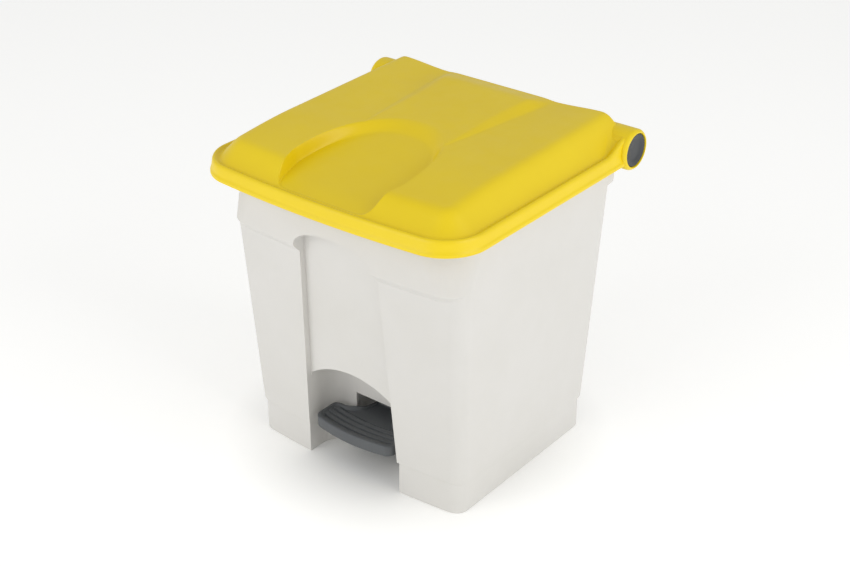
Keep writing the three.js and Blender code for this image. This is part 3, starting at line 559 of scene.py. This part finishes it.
# Band profile from the lip's underside up to the groove: inset from the lip, height.
BAND_OUT = np.array([
    (0.6, 386.9), (0.15, 387.2), (0.0, 387.8), (0.0, 390.0), (0.25, 391.0), (0.8, 391.9), (1.35, 392.8),
    (1.75, 394.2), (2.2, 397.5), (2.9, 401.6), (3.2, 403.6), (3.9, 405.2), (4.9, 406.4), (6.2, 407.0),
    (7.4, 406.9), (8.6, 406.3), (9.6, 405.5), (10.6, 404.8), (GROOVE_IN, GROOVE_Z)])
BAND_IN = np.array([(3.0, 386.9), (4.9, 392.5), (5.7, 400.5), (6.9, 403.3), (9.5, 403.0), (14.5, 401.5)])


def soft_max(a, b, reach):
    """The larger of two heights, blended over the reach: max + (reach - |a - b|)^2 / 4 reach."""
    gap = np.maximum(reach - np.abs(a - b), 0.0)
    return np.maximum(a, b) + gap ** 2 / (4.0 * reach)


def lid_ring(inset):
    """The lid's plan at an inset from its lip: bowed front, round corners, sides and rear, as a
    closed loop that starts at the middle of the front. The rear moves in by its own rule."""
    half = LIP_HALF - inset
    front = LIP_FRONT + inset
    rear = LID_REAR - 0.05 * min(inset, GROOVE_IN) - max(inset - GROOVE_IN, 0.0)
    corner = max(LIP_CORNER - inset, 6.0)
    u = np.linspace(0.0, 1.0, 51)
    x = [u * (half - corner)]
    y = [front + 0 * u]
    turn = np.linspace(0.0, math.pi / 2, 25)[1:]
    x.append(half - corner + corner * np.sin(turn))
    y.append(front + corner - corner * np.cos(turn))
    u = np.linspace(0.0, 1.0, 57)[1:]
    x.append(half + 0 * u)
    y.append(front + corner + u * (rear - LID_REAR_CORNER - front - corner))
    turn = np.linspace(0.0, math.pi / 2, 11)[1:]
    x.append(half - LID_REAR_CORNER * (1 - np.cos(turn)))
    y.append(rear - LID_REAR_CORNER * (1 - np.sin(turn)))
    u = np.linspace(0.0, 1.0, 49)[1:]
    x.append((half - LID_REAR_CORNER) * (1 - u))
    y.append(rear + 0 * u)
    x, y = np.concatenate(x), np.concatenate(y)
    y = y + LIP_BOW * (x / LIP_HALF) ** 2 * np.clip((SCOOP_Y + 60 - y) / 60, 0.0, 1.0)
    return np.concatenate([x, -x[-2::-1]]), np.concatenate([y, y[-2::-1]])


def scoop_ring(x, y, reach, grow):
    """Where rays from the scoop's centre towards the points cross its outline: a superellipse to
    the rear, and a nearly square one to the front that narrows as it runs out to the groove."""
    angle = np.arctan2(x, y - SCOOP_Y)
    side, ahead = np.abs(np.sin(angle)), np.cos(angle)
    front_reach = 50.0 + (reach[0] - SCOOP_IN[0]) * 0.25
    rear = ((side / (reach[0] + grow)) ** SCOOP_POWER
            + (np.maximum(ahead, 0) / (reach[1] + grow)) ** SCOOP_POWER)
    front = (side / (reach[0] + grow)) ** 9 + (np.maximum(-ahead, 0) / front_reach) ** 9
    away = np.where(ahead > 0, rear ** (-1 / SCOOP_POWER), front ** (-1 / 9))
    taper = 1.0 - 0.15 * np.clip(-away * np.cos(angle) / 50.0, 0.0, 1.0)
    return away * np.sin(angle) * taper, SCOOP_Y + away * np.cos(angle)


def crown_height(x, y, sink):
    """Top of the lid over the plan: a dome that rises by a quarter sine from front to rear, plus
    the centre panel, and all of it above the groove times the bevel's share. The share ramps up
    from the crown's edge and is blended into 1, and rolls off along the rear edge."""
    climb = np.sin(np.clip((y + 165) / 130, 0, 1) * math.pi / 2)
    dome = CROWN_FRONT_Z + (CROWN_REAR_Z - CROWN_FRONT_Z) * climb
    back = np.clip((y - PANEL_FRONT) / 204, 0.0, 1.0)
    foot = PANEL_FOOT + PANEL_SPREAD * back ** 0.9
    flank = 2.0 + 14.0 * smooth_step(back, -0.05, 0.7)
    dome = dome + 4.6 * back * smooth_step(np.abs(x) - foot, 0.0, 75.0)
    rise = np.clip((y - PANEL_FRONT) / 168, 0.0, 1.0) * (1.0 - 0.85 * smooth_step(y, 136.0, 172.0))
    lift = np.clip((foot - np.abs(x)) / flank, 0.0, 1.0)
    dome = dome + (PANEL_Z - CROWN_REAR_Z) * rise * (0.6 * lift + 0.4 * np.sin(lift * math.pi / 2))
    corner = LIP_CORNER - GROOVE_IN
    bow = LIP_BOW * (x / LIP_HALF) ** 2
    dx = np.abs(x) - (LIP_HALF - GROOVE_IN - corner)
    dy = LIP_FRONT + GROOVE_IN + corner + bow - y
    beyond = np.hypot(np.maximum(dx, 0), np.maximum(dy, 0))
    outside = np.minimum(np.maximum(dx, dy), 0) + beyond - corner
    edge = np.clip((-outside - sink * 0.6) / BEVEL, 0.0, 1.0)
    rear = np.clip((LID_REAR - 0.05 * GROOVE_IN - sink * 0.6 - y) / REAR_ROLL, 0.0, 1.0)
    edge = edge - 0.04 * (1 - np.exp(-edge / 0.04))
    bevel = soft_max(-1.4 * edge, -1.0 + 0 * edge, 0.35)
    share = np.clip(-soft_max(bevel, -np.sqrt(1 - (1 - rear) ** 2), 0.12), 0.0, 1.0)
    return GROOVE_Z + (dome - GROOVE_Z) * share - sink


def web(x, y, z, sink, groove=False):
    """Sweep the band and groove up to the barrels at the rear corners by a smooth ramp, and let the
    crown run into that ramp with a soft maximum that starts from nothing."""
    beside = smooth_step(np.abs(x), BARREL_IN, BARREL_IN + 40)
    lift = (BARREL_R - 6.5) * smooth_step(y, 118.0, 171.0) * beside
    if groove:
        return z + lift * (1.0 - 0.1 * smooth_step(y, 140.0, 171.0))
    base = GROOVE_Z - sink
    return base + soft_max(z - base, 0.9 * lift, 0.6 * lift + 1e-6)


def lid_sheet(sink, band, rows):
    """One face of the lid from its lip to the scoop's centre, as rows of rings: the band profile,
    then the crown to the scoop, the scoop's wall, and its floor."""
    sheet = []
    for inset, z in band:
        x, y = lid_ring(inset)
        height = z + 0 * x
        if inset > 2.9:
            height = web(x, y, height, sink, True)
        sheet.append(np.stack([x, y, height], axis=-1))
    base_x, base_y = lid_ring(band[-1][0])
    out_x, out_y = scoop_ring(base_x, base_y, SCOOP_OUT, sink * 0.8)
    in_x, in_y = scoop_ring(base_x, base_y, SCOOP_IN, sink * 0.8)
    for t in np.linspace(0.0, 1.0, rows[0] + 1)[1:] ** 1.25:
        x, y = base_x + t * (out_x - base_x), base_y + t * (out_y - base_y)
        sheet.append(np.stack([x, y, web(x, y, crown_height(x, y, sink), sink)], axis=-1))

    def floor_height(y):
        """Scoop floor: a gentle ramp that rolls down to the groove at the front."""
        front = np.clip((-152 - y) / 36, 0.0, 1.0)
        return SCOOP_FLOOR + SCOOP_SLOPE * (y + 175) - 2.2 * front ** 2 - sink

    for t in np.linspace(0.0, 1.0, rows[1] + 1)[1:]:
        x, y = out_x + t * (in_x - out_x), out_y + t * (in_y - out_y)
        wall = 0.35 * t + 0.65 * t * t * (3 - 2 * t)
        top = crown_height(x, y, sink)
        sheet.append(np.stack([x, y, top + wall * np.minimum(floor_height(y) - top, 0.0)], axis=-1))
    for t in np.linspace(1.0, 0.03, rows[2] + 1)[1:]:
        x, y = t * in_x, SCOOP_Y + t * (in_y - SCOOP_Y)
        sheet.append(np.stack([x, y, np.minimum(floor_height(y), crown_height(x, y, sink))], axis=-1))
    return np.stack(sheet) * MM


outer_sheet = lid_sheet(0.0, BAND_OUT, (84, 12, 22))
inner_sheet = lid_sheet(LID_WALL, BAND_IN, (36, 8, 10))
sheets = np.concatenate([inner_sheet[::-1], outer_sheet])
lid = surface("yellow_lid", [sheets], caps=(sheets[0][:-1], sheets[-1][:-1]))
LUG = [(118, 442.6), (150, 443), (157, 440), (157, 392), (152, 371.5), (143, 369), (134.5, 374),
       (133, 384), (118, 400)]
LUG_X = 8.5
CRANK, CRANK_REACH = math.radians(-40.0), 32.4      # slot: angle, and distance from the hinge

cut(lid, [
    bar_x(-BARREL_IN, BARREL_IN, *HINGE, KNUCKLE[2] + 3.2),
    block(-BARREL_IN, BARREL_IN, HINGE[0], HINGE[0] + 40, 360, HINGE[1]),
    block(-BARREL_IN, BARREL_IN, 140, HINGE[0], 360, RIM + 3)])
barrels = []
for side in (-1, 1):
    ring = eased([(BARREL_IN, HINGE_BORE), (BARREL_IN, BARREL_R), (BARREL_OUT - 3.5, BARREL_R),
                  (BARREL_OUT, BARREL_R - 3.0), (BARREL_OUT, BARREL_R - BARREL_WALL),
                  (BARREL_OUT - 9, BARREL_R - BARREL_WALL), (BARREL_OUT - 9, 15.0), (BARREL_OUT - 12, 15.0),
                  (BARREL_OUT - 12, HINGE_BORE)], 2.2)
    ring = [(side * s, r) for s, r in ring.tolist()]
    barrels.append(turned("barrel", ring + ring[:1], "X", HINGE, 128))
barrels.append(prism_x("lug", LUG, 6, 11))
cut(lid, barrels, "UNION")
slot = slab("crank_slot", [(-10, -8.5), (10, -8.5), (10, 8.5), (-10, 8.5)], -4.4, 4.4, 0.5, 0.3)
slot.data.transform(
    Matrix.Translation((LUG_X * MM, HINGE[0] * MM, HINGE[1] * MM))
    @ Matrix.Rotation(-CRANK, 4, "X")
    @ Matrix.Translation((0, -CRANK_REACH * MM, 0)))
cut(lid, [slot, bar_x(-230, 230, *HINGE, HINGE_BORE)])

# Signal yellow polypropylene, a little glossier than the body.
yellow_moulding = moulded("yellow_moulding", "#eccf00", "#e9cb00", 0.7, (0.36, 0.48), 0.12)
finish_mesh(lid, yellow_moulding)
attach(lid, "lid")
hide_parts("lid_shell")

# ---- hinge: caps, bushes and rod ----------------------------------------------------------------
# A zinc-plated rod runs through both knuckles and barrels. Grey flanged bushes carry it in the
# knuckles, and a grey dished cap with a raised rim is pressed into each barrel's open end.
CAP_R = BARREL_R - BARREL_WALL - GAP
CAP_FACE = BARREL_OUT - 5.5


def plated(name, colour, roughness, scratch):
    """Plated steel wire or sheet: metal with a fine drawn grain along it and cloudy plating."""
    made, tree, shader, where = fresh_material(name)
    stretch = node(tree, "ShaderNodeMapping", [("Vector", where)], Scale=scratch)
    drawn = node(tree, "ShaderNodeTexNoise", [("Vector", stretch.outputs["Vector"])],
                 Scale=900.0, Detail=3.0)
    cloud = node(tree, "ShaderNodeTexNoise", [("Vector", where)], Scale=60.0, Detail=5.0)
    both = node(tree, "ShaderNodeMath", [(0, drawn.outputs["Fac"]), (1, cloud.outputs["Fac"])],
                operation="MULTIPLY")
    gloss = node(tree, "ShaderNodeMapRange", [("Value", both.outputs["Value"])],
                 From_Min=0.1, From_Max=0.4, To_Min=roughness[0], To_Max=roughness[1])
    bump = node(tree, "ShaderNodeBump", [("Height", drawn.outputs["Fac"])], Strength=0.08, Distance=0.0001)
    tree.links.new(gloss.outputs["Result"], shader.inputs["Roughness"])
    tree.links.new(bump.outputs["Normal"], shader.inputs["Normal"])
    shader.inputs["Base Color"].default_value = linear(colour)
    shader.inputs["Metallic"].default_value = 1.0
    return made


# Dark grey polypropylene with a satin face, and bright zinc plate.
grey_moulding = moulded("grey_moulding", "#35373a", "#313437", 0.6, (0.34, 0.5), 0.15)
zinc_plate = plated("zinc_plate", "#c3c6c9", (0.24, 0.42), (0.08, 1.0, 1.0))


def settle(piece, material, slot, body_name, replaced, crease=35):
    """Finish a piece with its material, hang it on the named body and hide the imported part that it stands
    for; the slot argument is not used.
    """
    finish_mesh(piece, material, crease)
    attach(piece, body_name)
    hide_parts(replaced)


CAP = [(0.0, 0.0), (0.0, CAP_R - 3), (-5.0, CAP_R - 3), (-5.0, CAP_R - 0.6), (0.0, CAP_R), (3.2, CAP_R),
       (4.2, CAP_R - 0.8), (4.4, CAP_R - 2.2), (4.0, CAP_R - 3.4), (3.4, 16.5), (3.3, 15.2), (2.7, 14.4),
       (2.3, 9.0), (2.2, 4.0), (2.2, 0.0)]
BUSH = [(0.0, HINGE_BORE), (0.0, 8.0), (24.35, 8.0), (24.35, 11.0), (25.95, 11.0),
        (25.95, HINGE_BORE)]
for side, name in ((-1, "left"), (1, "right")):
    cap = turned(f"barrel_cap_{name}", [(side * (CAP_FACE + s), r) for s, r in CAP], "X", HINGE, 160)
    settle(cap, grey_moulding, "cap_plastic", "lid", f"hinge_cap_{name}")
    ring = [(side * (KNUCKLE[0] + 1 + s), r) for s, r in eased(BUSH, 0.4).tolist()]
    bush = turned(f"flanged_bush_{name}", ring + ring[:1], "X", HINGE, 96)
    settle(bush, grey_moulding, "fitting_plastic", "bin", f"hinge_bush_{name}")

BAR = [(-191, 0), (-191, 4.2), (-190.2, 5), (190.2, 5), (191, 4.2), (191, 0)]
rod = turned("hinge_bar", BAR, "X", HINGE, 64)
settle(rod, zinc_plate, "zinc_steel", "bin", "hinge_rod")

# ---- pedal --------------------------------------------------------------------------------------
# One grey moulding: a hollow tread with a raised rim and four curved grip grooves, an arm that
# runs back over the axle, two beams, and a slotted eye for the push rod's lower end.
PIVOT = (-10.0, 62.0)
TREAD_TOP, TREAD_SKIRT = 64.0, 15.0
TREAD_HALF, ARM_HALF = 63.0, 23.0
TREAD_MIDDLE, TREAD_FRONT, TREAD_NECK = -113.0, -144.2, -60.0
RIM_WIDTH, PAN_DEPTH = 4.4, 2.4
GRIP_PITCH, GRIP_WIDTH, GRIP_DEPTH = 9.0, 3.0, 3.2
ROD_X, ROD_Y, ROD_R = -2.5, 145.0, 3.0
ROD_LOW, ROD_HIGH = 39.3, 379.0
AXLE_BORE = 4.0 + GAP           # radius


def curve(points, count):
    """A quadratic Bezier through three plan points: (1-t)^2 a + 2t(1-t) b + t^2 c."""
    a, b, c = (np.array(point, float) for point in points)
    t = np.linspace(0.0, 1.0, count + 1)[1:, None]
    return (1 - t) ** 2 * a + 2 * t * (1 - t) * b + t ** 2 * c


def tread_edge(inset):
    """The tread's plan edge from the arm round the right half to the front, then mirrored: a
    shoulder, a side, a turned front corner and a bowed front."""
    half, arm = TREAD_HALF - inset, ARM_HALF - inset
    right_half = np.concatenate([
        [[arm, TREAD_NECK]],
        curve([(arm, TREAD_NECK), (arm + 3, -87 - inset), (half - 15, -93.5 - inset)], 22),
        curve([(half - 15, -93.5 - inset), (half - 1, -93 - inset), (half, -100 - inset)], 12),
        curve([(half, -100 - inset), (half, -115), (half, -129 + inset)], 12),
        curve([(half, -129 + inset), (half - 2.5, -134.5 + inset), (half - 8, -137.5 + inset)], 10),
        curve([(half - 8, -137.5 + inset), ((half - 8) / 2, TREAD_FRONT + inset),
               (0, TREAD_FRONT + inset)], 30)])
    left_half = right_half[-2::-1] * [-1.0, 1.0]
    rear = np.column_stack([np.linspace(-arm, arm, 18)[1:], np.full(17, TREAD_NECK)])
    return np.concatenate([right_half, left_half, rear])


def tread_top(edge, middle):
    """Pan height over the plan: grooves at equal steps behind the bowed front, and a drop of the
    surface behind the last one towards the arm."""
    x, y = edge[:, 0], edge[:, 1]
    behind = y - (TREAD_FRONT + 6.7 * (x / 55.0) ** 2)
    height = 0 * x
    for step in range(1, 5):
        off = np.abs(behind - 3.0 - step * GRIP_PITCH) / (GRIP_WIDTH / 2)
        height -= GRIP_DEPTH * (1 - smooth_step(off, 0.5, 1.0)) * smooth_step(middle, 0.0, 0.3)
    return height - 1.4 * smooth_step(behind, 3.0 + 4 * GRIP_PITCH, 6.0 + 4 * GRIP_PITCH)


def tread_sheet(inset, top, ease):
    """One face of the tread from the skirt's lower edge over the rim to its middle."""
    centre = np.array([0.0, TREAD_MIDDLE])
    rim_level = lambda edge: top - PAN_DEPTH * smooth_step(edge[:, 1], -92, -76)
    rows = []
    for z in (0.0, 0.6, 5.0, 9.0):
        edge = tread_edge(inset + 0.5 * (z == 0.0))
        rows.append(np.column_stack([edge, 0 * edge[:, 0] + TREAD_TOP - TREAD_SKIRT + z]))
    for t in np.linspace(0.0, math.pi / 2, 7):
        edge = tread_edge(inset + ease * (1 - math.cos(t)))
        rows.append(np.column_stack([edge, rim_level(edge) - ease * (1 - math.sin(t))]))
    for t in np.linspace(0.0, 1.0, 7)[1:]:
        edge = tread_edge(inset + ease + t * (RIM_WIDTH - ease + 1.2))
        drop = smooth_step(t, 0.45, 1.0) if inset == 0 else 0.0
        low = top - PAN_DEPTH
        rows.append(np.column_stack([edge, rim_level(edge) * (1 - drop) + low * drop]))
    inner = rows[-1]
    for t in np.linspace(1.0, 0.04, 60 if inset == 0 else 12)[1:]:
        plan = centre + (inner[:, :2] - centre) * t
        low = top - PAN_DEPTH + (tread_top(plan, (1 - t) / 0.12) if inset == 0 else -1.0)
        rows.append(np.column_stack([plan, low + 0 * plan[:, 0]]))
    return np.stack(rows) * MM


outer_tread = tread_sheet(0.0, TREAD_TOP, 2.2)
inner_tread = tread_sheet(3.0, TREAD_TOP - 5.4, 1.0)
both = np.concatenate([inner_tread[::-1], outer_tread])
pedal = surface("grey_pedal", [both], caps=(both[0][:-1], both[-1][:-1]))
ARM = [(-66, 49), (-66, 60), (-40, 62), (-22, 70), (2, 70), (16, 64), (40, 61), (40, 50), (4, 52),
       (-24, 54), (-40, 49)]
BEAM = [(20, 52), (20, 63), (138, 47), (138, 32), (120, 34)]
EYE = [(125, 34), (125, 48), (153.5, 47), (153.5, 31.6), (138, 31.6)]
cut(pedal, [
    prism_x("arm", ARM, -ARM_HALF, ARM_HALF, 3.0),
    prism_x("beam", BEAM, 4, 14), prism_x("beam", BEAM, -14, -4),
    prism_x("eye", EYE, 6, 12, 3.0), block(-14, 14, 20, 34, 53, 60)], "UNION")
cut(pedal, [
    block(-ARM_HALF + 3, ARM_HALF - 3, -58, -26, 40, 57), block(-4, 4, 44, 170, 20, 80),
    block(-14.5, 5.99, 126, 170, 20, 80), block(12.01, 14.5, 126, 170, 20, 80),
    bar_x(-40, 40, *PIVOT, AXLE_BORE),
    block(0, 20, ROD_Y - 5.2, ROD_Y + 5.2, ROD_LOW - 3.6, ROD_LOW + 3.6)])

# Blue-grey polypropylene, dulled by shoes.
tread_moulding = moulded("tread_moulding", "#505356", "#55585a", 0.8, (0.45, 0.62), 0.25)
settle(pedal, tread_moulding, "pedal_plastic", "pedal_lever", "pedal")

# ---- pedal axle, its clips, bearings and screws -------------------------------------------------
# A plated axle with chamfered ends turns in two grey bearing brackets. Two plated pan-head screws
# hold each bracket up to the bosses under the floor, and push-on spring clips keep the axle in.
AXLE = [(-52, 0), (-52, 3.3), (-51.3, 4), (51.3, 4), (52, 3.3), (52, 0)]
axle = turned("axle_bar", AXLE, "X", PIVOT, 64)
settle(axle, zinc_plate, "zinc_steel", "pedal_lever", "pedal_axle")
spring_steel = plated("spring_steel", "#6c7076", (0.28, 0.46), (1.0, 1.0, 1.0))
CLIP = [(0.0, 0.35), (0.0, 1.0), (0.5, 1.6), (0.5, 4.0), (2.0, 4.0), (2.0, 3.3), (1.2, 1.2), (1.2, 0.35)]


def push_on_clip(name, x, centre, radius, outer):
    """A domed spring washer with its gripping edge turned up, closed as a ring."""
    reach = (outer - radius) / 4.0
    ring = [(x + s, radius + r * reach) for s, r in CLIP]
    return turned(name, ring + ring[:1], "X", centre, 64)


BRACKET = [(-34, 82.95), (-34, 78.8), (-22, 78.3), (-20, 62), (0, 62), (2, 78.3), (14, 78.8), (14, 82.95)]
SCREW = [(-3.0, 0.0), (-3.0, 1.2), (-2.6, 2.6), (-1.9, 3.5), (-1.0, 4.0), (0.0, 4.0), (0.0, 1.8),
         (11.2, 1.8), (13.0, 0.0)]
for side, name in ((-1, "left"), (1, "right")):
    ends = sorted((side * 33, side * 47))
    bearing = prism_x(f"bracket_{name}", BRACKET, *ends, 1.5)
    cut(bearing, [bar_x(*ends, *PIVOT, 10.0)], "UNION")
    cut(bearing, [bar_x(ends[0] - 1, ends[1] + 1, *PIVOT, AXLE_BORE)]
        + [bar_z(side * BOSS_X, y, 70, 90, 2.4) for y in BOSS_Y])
    settle(bearing, grey_moulding, "fitting_plastic", "bin", f"pedal_bearing_{name}")
    clip = push_on_clip(f"axle_washer_{name}", 48.0 if side > 0 else -50.0, PIVOT, 4.05, 8.0)
    settle(clip, spring_steel, "spring_steel", "pedal_lever", f"axle_clip_{name}")
    for y, end in zip(BOSS_Y, ("front", "rear")):
        x, seat = side * BOSS_X, BOSS_LOW - 5.4
        profile = [(seat + s, r) for s, r in SCREW]
        screw = turned(f"pan_screw_{name}_{end}", profile, "Z", (x, y), 48)
        cut(screw, [block(x - 2.2, x + 2.2, y - 0.4, y + 0.4, seat - 4, seat - 1.4)])
        cut(screw, [block(x - 0.4, x + 0.4, y - 2.2, y + 2.2, seat - 4, seat - 1.4)])
        settle(screw, zinc_plate, "zinc_steel", "bin", f"bearing_screw_{name}_{end}")

# ---- push rod, its clips and guides -------------------------------------------------------------
# A bent plated wire stands in the rear groove. Its lower end hooks the pedal's eye and its upper
# end the lid's lug, each kept on by a spring clip, and two grey guide blocks hold it upright.
ROD_REACH, ROD_BEND, ROD_CHAMFER = 17.0, 7.0, 0.7
GUIDE_HALF = 9.0                # half height of a guide block


def bent_rod(sides=32):
    """A wire along a path with two quarter-circle bends: each ring lies across the path, in the
    plane of Y and the path's normal."""
    turn = np.linspace(0.0, math.pi / 2, 13)
    low = np.column_stack([
        ROD_X + ROD_BEND - ROD_BEND * np.sin(turn), ROD_LOW + ROD_BEND - ROD_BEND * np.cos(turn), turn])
    high = np.column_stack([low[::-1, 0], ROD_LOW + ROD_HIGH - low[::-1, 1], math.pi - low[::-1, 2]])
    ends = (ROD_REACH, ROD_REACH - ROD_CHAMFER)
    path = np.array([[x, ROD_LOW, 0.0] for x in ends] + low.tolist() + high.tolist()
                    + [[x, ROD_HIGH, math.pi] for x in ends[::-1]])
    radius = np.full(len(path), ROD_R)
    radius[[0, -1]] = ROD_R - ROD_CHAMFER
    around = np.linspace(0.0, 2 * math.pi, sides + 1)[None, :]
    heading = path[:, 2:3]
    off = radius[:, None] * np.cos(around)
    x = path[:, 0:1] - off * np.sin(heading)
    y = ROD_Y + radius[:, None] * np.sin(around)
    z = path[:, 1:2] - off * np.cos(heading)
    rows = np.stack([x, y, z], axis=-1) * MM
    return surface("bent_wire", [rows], caps=(rows[0][:-1], rows[-1][:-1]))


push_rod = bent_rod()
settle(push_rod, zinc_plate, "zinc_steel", "lift_rod", "push_rod")
for end, x, z in (("lower", 12.6, ROD_LOW), ("upper", 11.6, ROD_HIGH)):
    clip = push_on_clip(f"rod_washer_{end}", x, (ROD_Y, z), 3.05, 7.0)
    settle(clip, spring_steel, "spring_steel", "lift_rod", f"rod_clip_{end}")
for end, z in (("lower", 120.0), ("upper", 330.0)):
    rear = REAR + REAR_DRAFT * z
    half = GROOVE_HALF - GAP
    low, high = z - GUIDE_HALF, z + GUIDE_HALF
    plate = [(-half, rear - 6), (half, rear - 6), (half, rear - 1), (-half, rear - 1)]
    nose = [(-14, ROD_Y - 8), (9, ROD_Y - 8), (9, rear - 5), (-14, rear - 5)]
    guide = slab(f"guide_{end}", plate, low, high, 0.8, 0.6)
    cut(guide, [slab("nose", nose, low, high, 2.0, 0.6)], "UNION")
    cut(guide, [bar_z(ROD_X, ROD_Y, z - 12, z + 12, ROD_R + GAP, 48)])
    settle(guide, grey_moulding, "fitting_plastic", "bin", f"rod_guide_{end}")
